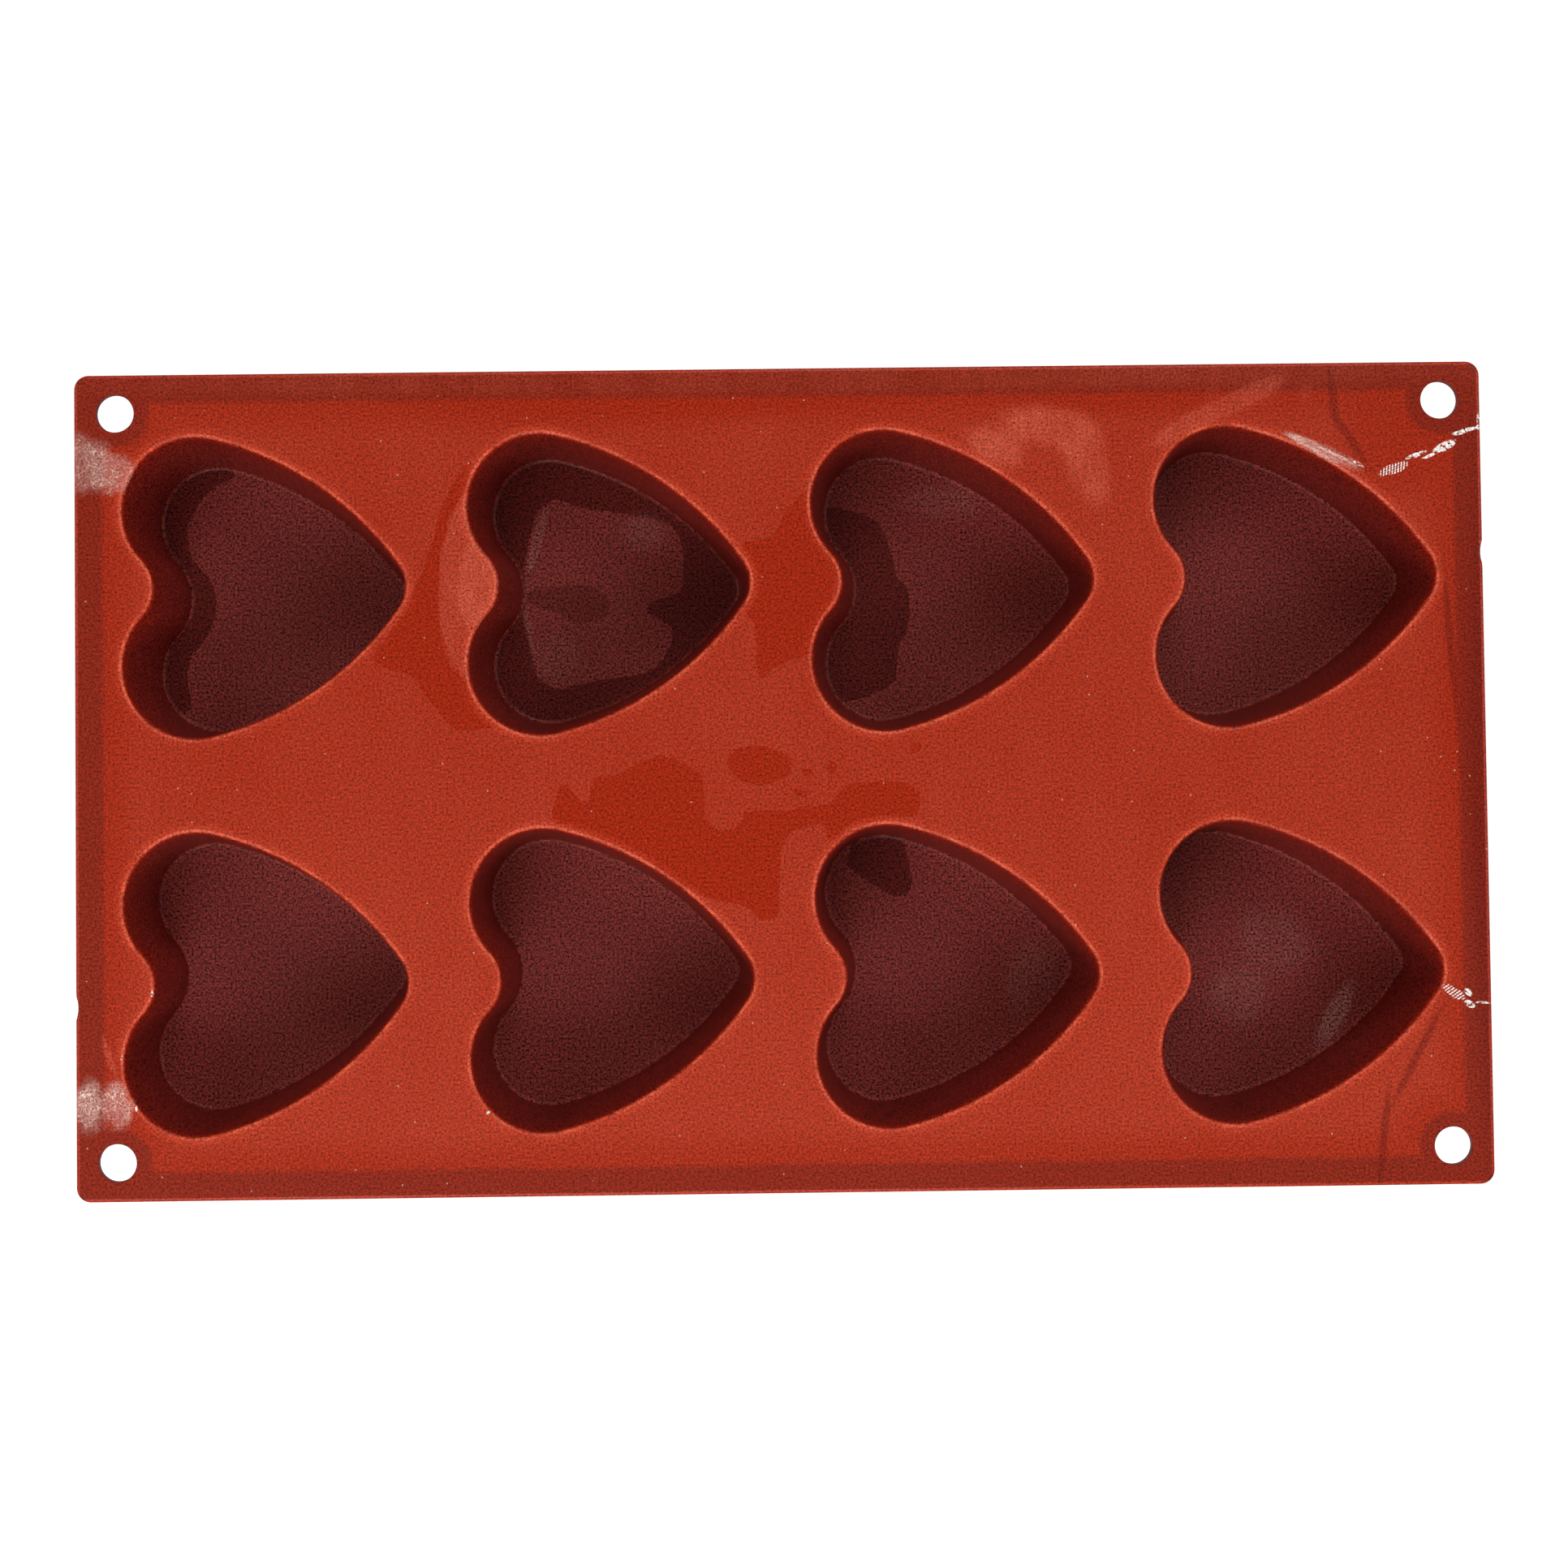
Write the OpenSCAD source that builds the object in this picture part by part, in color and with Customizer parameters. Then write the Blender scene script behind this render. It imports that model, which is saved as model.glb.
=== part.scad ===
// Silicone baking mould with heart-shaped cavities, moulded in one piece.
// Z = 0 is the plane that the cavity floors stand on, +Z points out of the cavities.
// The hearts point along +X.

/* [Sheet] */
// Length of the sheet along X
sheet_len = 300; // [290:1:340]
// Width of the sheet along Y
sheet_wid = 175; // [168:1:210]
// Thickness of the sheet between the cavities
sheet_t = 1.8; // [1.4:0.1:2.4]
// Corner radius of the sheet, seen from above
corner_r = 3; // [2:0.5:5]
// Rounding of the upper outer edge
edge_r = 0.8; // [0.4:0.1:1.2]

/* [Border] */
// Width of the thick border that stiffens the sheet
border_w = 6; // [4.5:0.5:7]
// Thickness of the border, which stands below the sheet
border_t = 3; // [2.6:0.1:4]
// Width of the slope where the border runs out into the sheet
border_slope = 0.8; // [0.4:0.1:1]
// Depth of the two trimmed gate marks in the short edges
gate_depth = 0.45; // [0.2:0.05:0.8]
// Length of a gate mark along the edge
gate_len = 5; // [3:0.5:8]
// Distance of a gate mark from the long centre line
gate_y = 46.6; // [30:0.5:60]

/* [Corner holes] */
// Diameter of the holes in the corners
hole_d = 8; // [5:0.5:8.5]
// Distance from a short edge to a hole's centre
hole_inset_x = 8.7; // [7.5:0.1:9]
// Distance from a long edge to a hole's centre
hole_inset_y = 8.2; // [7.5:0.1:9]
// Thick flesh left round a hole on the side facing the cavities
pad_flesh = 3.2; // [2:0.1:3.4]

/* [Cavities] */
// Number of cavities along X
columns = 4; // [1:1:4]
// Number of cavities along Y
rows = 2; // [1:1:2]
// Plain margin at each edge before the cavities share out the sheet
margin = 3.5; // [1:0.5:5]
// Depth of a cavity
depth = 35; // [20:1:50]
// Draft of the cavity walls in degrees
draft = 4.4; // [2:0.1:5]
// Thickness of a cavity's wall
wall_t = 1.4; // [1.1:0.1:1.6]
// Thickness of a cavity's floor
floor_t = 1.5; // [1.2:0.1:2.5]

/* [Heart outline] */
// Length of the opening from the lobes to the tip
heart_len = 59.8; // [54:0.2:62]
// Radius of the two lobes
lobe_r = 15.3; // [14:0.1:16.5]
// Distance between the centres of the lobes
lobe_gap = 33.2; // [30:0.1:35]
// Radius of the long curved sides
side_r = 68.3; // [60:0.5:90]
// Radius of the tip
tip_r = 7.8; // [7:0.1:9]
// Radius of the notch between the lobes
notch_r = 9.1; // [7.5:0.1:10]

/* [Roundings] */
// Rounding of the cavity's mouth
rim_r = 1.2; // [0.6:0.1:1.3]
// Rounding between a cavity's wall and its floor
floor_r = 0.8; // [0.4:0.1:1.2]
// Rounding of the outer edge under a cavity
foot_r = 1.4; // [0.6:0.1:1.4]
// Rounding under the sheet where a cavity hangs from it
root_r = 1.1; // [0.6:0.1:1.2]

/* [Hidden] */
$fa = 4;
$fs = 0.4;

silicone = [0.66, 0.14, 0.08];

// Cavities share out the sheet inside the margins
pitch_x = (sheet_len - 2 * margin) / columns;
pitch_y = (sheet_wid - 2 * margin) / rows;

// Heights of the upper face, of the sheet's underside and of the border's underside
top_z = depth + floor_t;
sheet_under = top_z - sheet_t;
border_under = top_z - border_t;
// Pieces reach this high into the sheet they join
sheet_core = top_z - sheet_t / 2;

// Hole centres, and the round pad left about each of them
hole_x = sheet_len / 2 - hole_inset_x;
hole_y = sheet_wid / 2 - hole_inset_y;
pad_r = hole_d / 2 + pad_flesh;

// Width of the plain strip where a cavity's wall overlaps the sheet and the floor plate
strip = 0.8;
// Cutting shapes stand out past the surface they cut
bite = 0.5;
// An arc crosses the straight it runs into instead of only touching it
cross = 0.002;
// Arcs start and end on whole multiples of this many degrees, and a wall is placed
// in a rounded step and a small one, so that neighbouring walls meet exactly
grain = 0.001;
// Neighbouring walls run into each other by this many degrees
lap = 0.000001;
// Turn between two points of an outline that ends up inside the walls
outline_turn = 15;

// Centre of the long curved side, struck from the middles of the lobe and the tip
tip_c = [heart_len / 2 - tip_r, 0];
lobe_middle = [lobe_r - heart_len / 2, lobe_gap / 2];
side_middle = circles_meet(lobe_middle, side_r - lobe_r, tip_c, side_r - tip_r);

// Directions in which neighbouring arcs touch
tip_a = rounded(direction(side_middle, tip_c));
lobe_a = rounded(direction(side_middle, lobe_middle));
notch_a = rounded(asin(lobe_middle.y / (lobe_r + notch_r)));

// Centres of the outline's tangent arcs, and the notch's radius, to fit these directions.
// The lower half mirrors the upper one.
side_c = tip_c - (side_r - tip_r) * along(tip_a);
lobe_c = side_c + (side_r - lobe_r) * along(lobe_a);
notch_fit = lobe_c.y / sin(notch_a) - lobe_r;
notch_c = lobe_c - (lobe_r + notch_fit) * along(notch_a);

function rounded(value) = round(value / grain) * grain;
function direction(from, to) = atan2(to.y - from.y, to.x - from.x);
function along(angle) = [cos(angle), sin(angle)];
function flipped(point) = [point.x, -point.y];

// Point at distance ra from a and rb from b, on the right-hand side of the way from a to b
function circles_meet(a, ra, b, rb) =
    let(
        gap = norm(b - a),
        run = (gap ^ 2 + ra ^ 2 - rb ^ 2) / (2 * gap),
        rise = sqrt(ra ^ 2 - run ^ 2),
        u = (b - a) / gap
    )
    a + run * u + rise * [u.y, -u.x];

// Points of an arc after its first one
function arc(centre, r, from, to) =
    let(steps = ceil(abs(to - from) / outline_turn))
    [for (i = [1:steps]) centre + r * along(from + (to - from) * i / steps)];

// Upper half of the heart outline from the tip to the notch, moved outwards by grow
function half_outline(grow) = concat(
    [tip_c + [tip_r + grow, 0]],
    arc(tip_c, tip_r + grow, 0, tip_a),
    arc(side_c, side_r + grow, tip_a, (tip_a + lobe_a) / 2),
    arc(side_c, side_r + grow, (tip_a + lobe_a) / 2, lobe_a),
    arc(lobe_c, lobe_r + grow, lobe_a, notch_a + 180),
    arc(notch_c, notch_fit - grow, notch_a, 0)
);

function heart_outline(grow) =
    let(half = half_outline(grow))
    concat(half, [for (i = [len(half) - 2:-1:1]) flipped(half[i])]);

// Distance outwards of a line that lies gap outside the drafted inner wall, at height z
function wall_x(z, gap = 0) = (gap + (z - top_z) * sin(draft)) / cos(draft);

// Centres of the roundings in a cavity's wall
rim_c = [wall_x(top_z - rim_r, rim_r), top_z - rim_r];
crease_c = [wall_x(floor_t + floor_r, -floor_r), floor_t + floor_r];
foot_c = [wall_x(foot_r, wall_t - foot_r), foot_r];
root_c = [wall_x(sheet_under - root_r, wall_t + root_r), sheet_under - root_r];
outer_end = root_c.x + strip;
inner_end = min(crease_c.x, foot_c.x) - strip;

// What lies between two directions from a centre and outside a circle about it
module corner_piece(centre, r, from, to) {
    middle = (from + to) / 2;
    reach = r + bite;
    translate(centre)
        difference() {
            polygon([
                [0, 0],
                reach * along(from),
                reach * along(middle) / cos((to - from) / 2),
                reach * along(to)
            ]);
            circle(r + cross);
        }
}

// Cross-section of a cavity's wall: x is the distance outwards from the wall line, y is height.
// It runs from the sheet, over the rim, down the wall and into the floor.
module wall_section() {
    difference() {
        union() {
            polygon([
                [outer_end, top_z],
                [wall_x(top_z), top_z],
                [wall_x(floor_t), floor_t],
                [inner_end, floor_t],
                [inner_end, 0],
                [wall_x(0, wall_t), 0],
                [wall_x(sheet_under, wall_t), sheet_under],
                [outer_end, sheet_under]
            ]);
            corner_piece(crease_c, floor_r, -90, -draft);
            corner_piece(root_c, root_r, 90, 180 - draft);
        }
        corner_piece(rim_c, rim_r, 90, 180 - draft);
        corner_piece(foot_c, foot_r, -90, -draft);
    }
}

// Moves what follows in a rounded step and the small rest of it
module placed(centre) {
    step = [rounded(centre.x), rounded(centre.y)];
    translate(step)
        translate(centre - step)
            children();
}

// Wall along one arc of the outline, flipped over to the lower half where flip is 1.
// Where inward is 1 the arc bulges into the heart.
module wall(centre, r, from, to, flip = 0, inward = 0) {
    mirror([0, flip, 0])
        placed(centre)
            rotate_extrude(angle = to - from + 2 * lap, start = from - lap)
                placed([r, 0])
                    mirror([inward, 0])
                        wall_section();
}

// One cavity with its wall, its floor and a strip of the sheet about its mouth
module cavity() {
    wall(tip_c, tip_r, -tip_a, tip_a);
    wall(side_c, side_r, tip_a, lobe_a);
    wall(lobe_c, lobe_r, lobe_a, notch_a + 180);
    wall(notch_c, notch_fit, -notch_a, notch_a, inward = 1);
    wall(lobe_c, lobe_r, lobe_a, notch_a + 180, flip = 1);
    wall(side_c, side_r, tip_a, lobe_a, flip = 1);
    linear_extrude(floor_t)
        polygon(heart_outline(inner_end + strip / 2));
}

module at_cavities() {
    for (i = [0:columns - 1], j = [0:rows - 1])
        translate([(i - (columns - 1) / 2) * pitch_x, (j - (rows - 1) / 2) * pitch_y, 0])
            children();
}

module at_corners() {
    for (sx = [0, 1], sy = [0, 1])
        mirror([sx, 0, 0])
            mirror([0, sy, 0])
                children();
}

// Corner of the sheet's outline that the corner radius is struck from
corner_c = [sheet_len / 2 - corner_r, sheet_wid / 2 - corner_r];

module sheet_outline() {
    square([2 * corner_c.x, sheet_wid], center = true);
    square([sheet_len, 2 * corner_c.y], center = true);
    at_corners()
        translate(corner_c)
            circle(corner_r);
}

// Cutter along X whose sides lean in by the border's slope from the border's underside up
module relief_bar(wid, len) {
    low = wid / 2 - border_w;
    high = low - border_slope;
    lean = border_slope / (border_t - sheet_t);
    rotate([90, 0, 90])
        linear_extrude(len, center = true)
            polygon([
                [low + bite * lean, border_under - bite],
                [high, sheet_under],
                [-high, sheet_under],
                [-low - bite * lean, border_under - bite]
            ]);
}

// Hollow under the sheet inside the thick border
module relief() {
    intersection() {
        relief_bar(sheet_wid, sheet_len);
        rotate([0, 0, 90])
            relief_bar(sheet_len, sheet_wid);
    }
}

// Thick pad about a corner hole: x is the distance from the hole's centre, y is height
module pad_section() {
    polygon([
        [0, border_under],
        [pad_r, border_under],
        [pad_r + border_slope, sheet_under],
        [pad_r + border_slope, sheet_core],
        [0, sheet_core]
    ]);
}

module pad() {
    arm_x = hole_inset_x - border_w / 2;
    arm_y = hole_inset_y - border_w / 2;
    translate([hole_x, hole_y, 0]) {
        translate([0, 0, border_under])
            cube([arm_x, arm_y, sheet_core - border_under]);
        rotate_extrude(angle = 90, start = 180)
            pad_section();
        rotate([90, 0, 180])
            linear_extrude(arm_y)
                pad_section();
        rotate([90, 0, 270])
            mirror([0, 0, 1])
                linear_extrude(arm_x)
                    pad_section();
    }
}

// Rounds the upper edge: x is the distance outwards from the edge, y is height
module edge_section() {
    corner_piece([-edge_r, top_z - edge_r], edge_r, 0, 90);
}

module edge_cutters() {
    for (side = [0, 1]) {
        mirror([0, side, 0])
            translate([0, sheet_wid / 2, 0])
                rotate([90, 0, 90])
                    linear_extrude(2 * corner_c.x, center = true)
                        edge_section();
        mirror([side, 0, 0])
            translate([sheet_len / 2, 0, 0])
                rotate([90, 0, 0])
                    linear_extrude(2 * corner_c.y, center = true)
                        edge_section();
    }
    at_corners()
        translate([corner_c.x, corner_c.y, 0])
            rotate_extrude(angle = 90)
                translate([corner_r, 0])
                    edge_section();
}

// Shallow scallops where the gates were trimmed off the short edges
module gate_marks() {
    mark_r = (gate_len ^ 2 / 4 + gate_depth ^ 2) / (2 * gate_depth);
    for (turn = [0, 180])
        rotate([0, 0, turn])
            translate([sheet_len / 2 - gate_depth + mark_r, gate_y, border_under - bite])
                cylinder(h = border_t + 2 * bite, r = mark_r);
}

module sheet() {
    difference() {
        translate([0, 0, border_under])
            linear_extrude(border_t)
                sheet_outline();
        relief();
        at_cavities()
            translate([0, 0, sheet_under - bite])
                linear_extrude(sheet_t + 2 * bite)
                    polygon(heart_outline(outer_end - strip / 2));
        edge_cutters();
        gate_marks();
    }
    at_corners()
        pad();
}

module mould() {
    color(silicone)
        difference() {
            union() {
                sheet();
                at_cavities()
                    cavity();
            }
            at_corners()
                translate([hole_x, hole_y, border_under - bite])
                    cylinder(h = border_t + 2 * bite, d = hole_d);
        }
}

mould();
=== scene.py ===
import math
import bmesh
import bpy
from mathutils import Matrix, Vector


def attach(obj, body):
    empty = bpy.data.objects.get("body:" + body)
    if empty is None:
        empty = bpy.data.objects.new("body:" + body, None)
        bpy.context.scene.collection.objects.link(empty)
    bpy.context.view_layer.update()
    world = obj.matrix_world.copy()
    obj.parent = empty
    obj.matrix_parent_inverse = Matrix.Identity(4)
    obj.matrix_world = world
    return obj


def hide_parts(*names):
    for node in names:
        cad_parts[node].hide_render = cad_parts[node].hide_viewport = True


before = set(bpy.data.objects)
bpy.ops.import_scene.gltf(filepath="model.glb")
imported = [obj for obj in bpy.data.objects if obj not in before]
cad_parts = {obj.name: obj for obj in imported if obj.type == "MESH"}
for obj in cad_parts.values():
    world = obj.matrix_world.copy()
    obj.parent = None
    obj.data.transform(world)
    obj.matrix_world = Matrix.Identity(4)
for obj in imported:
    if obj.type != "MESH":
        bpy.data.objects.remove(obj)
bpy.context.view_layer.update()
mm = 0.001

# The mould's own sizes in millimetres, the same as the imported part's
mould = {
    "length": 300.0, "width": 175.0, "cornerR": 3.0,
    "thin": 1.8, "band": 3.0, "bandWidth": 6.0, "slope": 0.8,
    "edgeR": 0.8, "lowerEdgeR": 0.5, "edgeStrip": 1.0,
    "holeR": 4.0, "holeInset": (8.7, 8.2), "padFlesh": 3.2,
    "columns": 4, "rows": 2, "margin": 3.5,
    "depth": 35.0, "floor": 1.5, "wall": 1.4, "draft": math.radians(4.4),
    "heartLength": 59.8, "lobeR": 15.3, "lobeGap": 33.2,
    "sideR": 68.3, "tipR": 7.8, "notchR": 9.1,
    "rimR": 1.2, "creaseR": 0.8, "footR": 1.4, "rootR": 1.1,
    "strip": 0.8,  # flat stretch at each end of a cup's profile
    "gate": (46.6, 5.0, 0.45, 1.7),  # distance from the long centre line, length, depth, reach inwards
    # how far each cup's floor leans on the soft sheet, by column and row
    "lean": {(0, 1): (1.1, -1.2), (1, 1): (0.9, -0.2), (2, 1): (0.8, -0.5), (3, 1): (0.2, -0.1)},
    "bevel": 0.22, "hardAngle": math.radians(32),
}
facets = {  # steps along each rounding and each straight run, and lengths of a step along the edges
    "tip": 16, "side": 14, "lobe": 38, "notch": 12,
    "rim": 8, "round": 6, "wall": 6, "lowerEdge": 4,
    "corner": 10, "pad": 12, "hole": 64,
    "shortEdge": 1.0, "longEdge": 3.0,
}
mirrorGap, mergeGap, levelGap = 0.001, 0.0005, 0.001
topZ = mould["depth"] + mould["floor"]
sheetUnder, bandUnder = topZ - mould["thin"], topZ - mould["band"]
halfX, halfY = mould["length"] / 2, mould["width"] / 2
cornerX, cornerY = halfX - mould["cornerR"], halfY - mould["cornerR"]
holeX, holeY = halfX - mould["holeInset"][0], halfY - mould["holeInset"][1]
padR = mould["holeR"] + mould["padFlesh"]
pitchX = (mould["length"] - 2 * mould["margin"]) / mould["columns"]
pitchY = (mould["width"] - 2 * mould["margin"]) / mould["rows"]
quarter = math.pi / 2


def angleTo(a, b):
    return math.atan2(b[1] - a[1], b[0] - a[0])


# Centres of the heart outline's arcs, the turn along each and its steps
def heartArcs():
    m = mould
    lobe = Vector((m["lobeR"] - m["heartLength"] / 2, m["lobeGap"] / 2))
    tip = Vector((m["heartLength"] / 2 - m["tipR"], 0))
    notch = Vector((lobe.x - math.sqrt((m["lobeR"] + m["notchR"]) ** 2 - lobe.y ** 2), 0))
    gap, ra, rb = (tip - lobe).length, m["sideR"] - m["lobeR"], m["sideR"] - m["tipR"]
    run = (gap ** 2 + ra ** 2 - rb ** 2) / (2 * gap)
    u = (tip - lobe).normalized()
    side = lobe + run * u + math.sqrt(ra ** 2 - run ** 2) * Vector((u.y, -u.x))
    tipA, lobeA, notchA = angleTo(side, tip), angleTo(side, lobe), angleTo(notch, lobe)
    return [
        (tip, tipA, facets["tip"]),
        (side, lobeA - tipA, facets["side"]),
        (lobe, notchA + math.pi - lobeA, facets["lobe"]),
        (notch, -notchA, facets["notch"]),
    ]


# Drags points and edges along a shift and returns what the drag ends on
def drag(bm, geom, shift, steps=1):
    step = Vector(shift) / steps
    out = bmesh.ops.spin(bm, geom=geom, dvec=step, angle=0, steps=steps, axis=(0, 0, 1), cent=(0, 0, 0))
    return out["geom_last"]


# The same along an arc about an upright line, unless another direction is given
def swing(bm, geom, centre, angle, steps, axis=(0, 0, 1)):
    return bmesh.ops.spin(bm, geom=geom, cent=centre, axis=axis, angle=angle, steps=steps)["geom_last"]


def pointsOf(geom):
    return [g for g in geom if isinstance(g, bmesh.types.BMVert)]


# A pen draws profiles: x is the distance outwards from the wall line or the edge, z is height
def penStart(x, z):
    bm = bmesh.new()
    return bm, bm.verts.new((x, 0, z))


def penLine(bm, last, x, z, steps=1):
    return pointsOf(drag(bm, [last], Vector((x, 0, z)) - last.co, steps))[0]


def penArc(bm, last, centre, angle, steps):
    return pointsOf(swing(bm, [last], (centre[0], 0, centre[1]), angle, steps, (0, -1, 0)))[0]


# Distance outwards of a line that lies gap outside the drafted inner wall
def wallX(z, gap=0.0):
    return (gap + (z - topZ) * math.sin(mould["draft"])) / math.cos(mould["draft"])


# One skin of a cup's wall, from the flat sheet over the upper and the lower rounding to the flat floor
def wallProfile(sheetZ, floorZ, upper, upperSteps, lower, lowerR, strips):
    m = mould
    rootX = wallX(sheetUnder - m["rootR"], m["wall"] + m["rootR"])
    lowerX = lower[0] + lowerR * math.cos(m["draft"])
    lowerZ = lower[1] - lowerR * math.sin(m["draft"])
    bm, last = penStart(rootX + m["strip"], sheetZ)
    last = penLine(bm, last, upper[0], sheetZ)
    last = penArc(bm, last, upper, quarter - m["draft"], upperSteps)
    last = penLine(bm, last, lowerX, lowerZ, facets["wall"])
    last = penArc(bm, last, lower, m["draft"] - quarter, facets["round"])
    penLine(bm, last, lower[0] - strips * m["strip"], floorZ, strips)
    return bm


def insideProfile():
    m = mould
    rimZ, creaseZ = topZ - m["rimR"], m["floor"] + m["creaseR"]
    rim = (wallX(rimZ, m["rimR"]), rimZ)
    crease = (wallX(creaseZ, -m["creaseR"]), creaseZ)
    return wallProfile(topZ, m["floor"], rim, facets["rim"], crease, m["creaseR"], 2)


def outsideProfile():
    m = mould
    rootZ, footZ = sheetUnder - m["rootR"], m["footR"]
    root = (wallX(rootZ, m["wall"] + m["rootR"]), rootZ)
    foot = (wallX(footZ, m["wall"] - m["footR"]), footZ)
    return wallProfile(sheetUnder, 0.0, root, facets["round"], foot, m["footR"], 1)


# Edges of a hole in the mesh that all lie at one height
def openEdges(bm, z):
    single = [e for e in bm.edges if len(e.link_faces) == 1]
    return [e for e in single if all(abs(v.co.z - z) < levelGap for v in e.verts)]


# Mirrors a half and merges what meets on the mirror line
def mirrorHalf(bm, axis):
    bmesh.ops.mirror(bm, geom=bm.verts[:] + bm.edges[:] + bm.faces[:], axis=axis, merge_dist=mirrorGap)
    bmesh.ops.remove_doubles(bm, verts=bm.verts[:], dist=mergeGap)


# Turns a wall profile about the centre of each arc in turn, mirrors it and fills its floor
def turnRoundHeart(bm, floorZ):
    arcs = heartArcs()
    bmesh.ops.translate(bm, verts=bm.verts[:], vec=(arcs[0][0].x + mould["tipR"], 0, 0))
    geom = bm.verts[:] + bm.edges[:]
    for centre, angle, steps in arcs:
        geom = swing(bm, geom, (centre.x, centre.y, 0), angle, steps)
    mirrorHalf(bm, "Y")
    bmesh.ops.triangle_fill(bm, edges=openEdges(bm, floorZ), use_beauty=True)
    return bm


# Outer edge of the sheet, with its rounded upper and lower corner
def frameProfile():
    m = mould
    lowZ = bandUnder + m["lowerEdgeR"]
    bm, last = penStart(-m["edgeR"] - m["edgeStrip"], topZ)
    last = penLine(bm, last, -m["edgeR"], topZ)
    last = penArc(bm, last, (-m["edgeR"], topZ - m["edgeR"]), -quarter, facets["round"])
    last = penLine(bm, last, 0, lowZ)
    last = penArc(bm, last, (-m["lowerEdgeR"], lowZ), -quarter, facets["lowerEdge"])
    penLine(bm, last, -m["edgeR"] - m["edgeStrip"], bandUnder)
    return bm


def runRoundFrame(bm):
    bmesh.ops.translate(bm, verts=bm.verts[:], vec=(halfX, 0, 0))
    geom = bm.verts[:] + bm.edges[:]
    geom = drag(bm, geom, (0, cornerY, 0), int(cornerY / facets["shortEdge"]))
    geom = swing(bm, geom, (cornerX, cornerY, 0), quarter, facets["corner"])
    drag(bm, geom, (-cornerX, 0, 0), int(cornerX / facets["longEdge"]))
    mirrorHalf(bm, "X")
    mirrorHalf(bm, "Y")
    return bm


# Outline of the hollow under the sheet, round the pads that carry the corner holes
def reliefLoop(inset, r, z):
    bm = bmesh.new()
    geom = [bm.verts.new((halfX - inset, 0, z))]
    geom = pointsOf(drag(bm, geom, (0, holeY - r, 0)))
    geom = pointsOf(drag(bm, geom, (holeX - halfX + inset, 0, 0)))
    geom = pointsOf(swing(bm, geom, (holeX, holeY, 0), -quarter, facets["pad"]))
    geom = pointsOf(drag(bm, geom, (0, halfY - inset - holeY, 0)))
    drag(bm, geom, (r - holeX, 0, 0))
    mirrorHalf(bm, "X")
    mirrorHalf(bm, "Y")
    return bm


# Adds a part's mesh to the mould, moved by shift, and returns its new vertices
def takeIn(bm, part, shift=(0, 0, 0)):
    mesh = bpy.data.meshes.new("part")
    part.to_mesh(mesh)
    before = len(bm.verts)
    bm.from_mesh(mesh)
    bpy.data.meshes.remove(mesh)
    bm.verts.ensure_lookup_table()
    new = bm.verts[before:]
    bmesh.ops.translate(bm, verts=new, vec=shift)
    return new


def bridge(bm, points):
    loops = set(points)
    bmesh.ops.bridge_loops(bm, edges=[e for e in bm.edges if all(v in loops for v in e.verts)])


# Hangs both skins of every cup, and writes the depth and the rim for the material to read
def hangCups(bm):
    m = mould
    cupLayer = bm.verts.layers.float.new("cup")
    haloLayer = bm.verts.layers.float.new("halo")
    inside = turnRoundHeart(insideProfile(), m["floor"])
    outside = turnRoundHeart(outsideProfile(), 0.0)
    for i in range(m["columns"]):
        for j in range(m["rows"]):
            centre = ((i - (m["columns"] - 1) / 2) * pitchX, (j - (m["rows"] - 1) / 2) * pitchY, 0)
            leanX, leanY = m["lean"].get((i, j), (0, 0))
            for part, isInside in ((inside, True), (outside, False)):
                for v in takeIn(bm, part, centre):
                    down = max(0.0, min(1.0, (topZ - v.co.z) / m["depth"]))
                    v.co.x += leanX * down
                    v.co.y += leanY * down
                    v[cupLayer] = down if isInside else 0.0
                    v[haloLayer] = float(isInside and not v.is_boundary)


# Trimmed gate marks in the short edges, diagonal to each other
def pressGates(bm):
    place, length, deep, reach = mould["gate"]
    for side in (1, -1):
        for v in bm.verts:
            off = abs(v.co.y - side * place) / (length / 2)
            near = (side * v.co.x - (halfX - reach)) / reach
            if off < 1 and near > 0:
                v.co.x -= side * deep * (1 - off ** 2) * near


# The slope between the thick band and the thin sheet, seen from below
def slopeUnder(bm):
    inset, slope = mould["bandWidth"], mould["slope"]
    low = takeIn(bm, reliefLoop(inset, padR, bandUnder))
    high = takeIn(bm, reliefLoop(inset + slope, padR + slope, sheetUnder))
    bridge(bm, low + high)


def lineHoles(bm):
    for sx in (1, -1):
        for sy in (1, -1):
            rings = []
            for z in (bandUnder, topZ):
                ring = bmesh.ops.create_circle(bm, segments=facets["hole"], radius=mould["holeR"])["verts"]
                bmesh.ops.translate(bm, verts=ring, vec=(sx * holeX, sy * holeY, z))
                rings += ring
            bridge(bm, rings)


def softenEdges(bm):
    hard = [e for e in bm.edges if len(e.link_faces) == 2 and e.calc_face_angle(0) > mould["hardAngle"]]
    bmesh.ops.bevel(bm, geom=hard, offset=mould["bevel"], offset_type="OFFSET", affect="EDGES",
                    segments=2, profile=0.5, material=-1)


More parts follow.
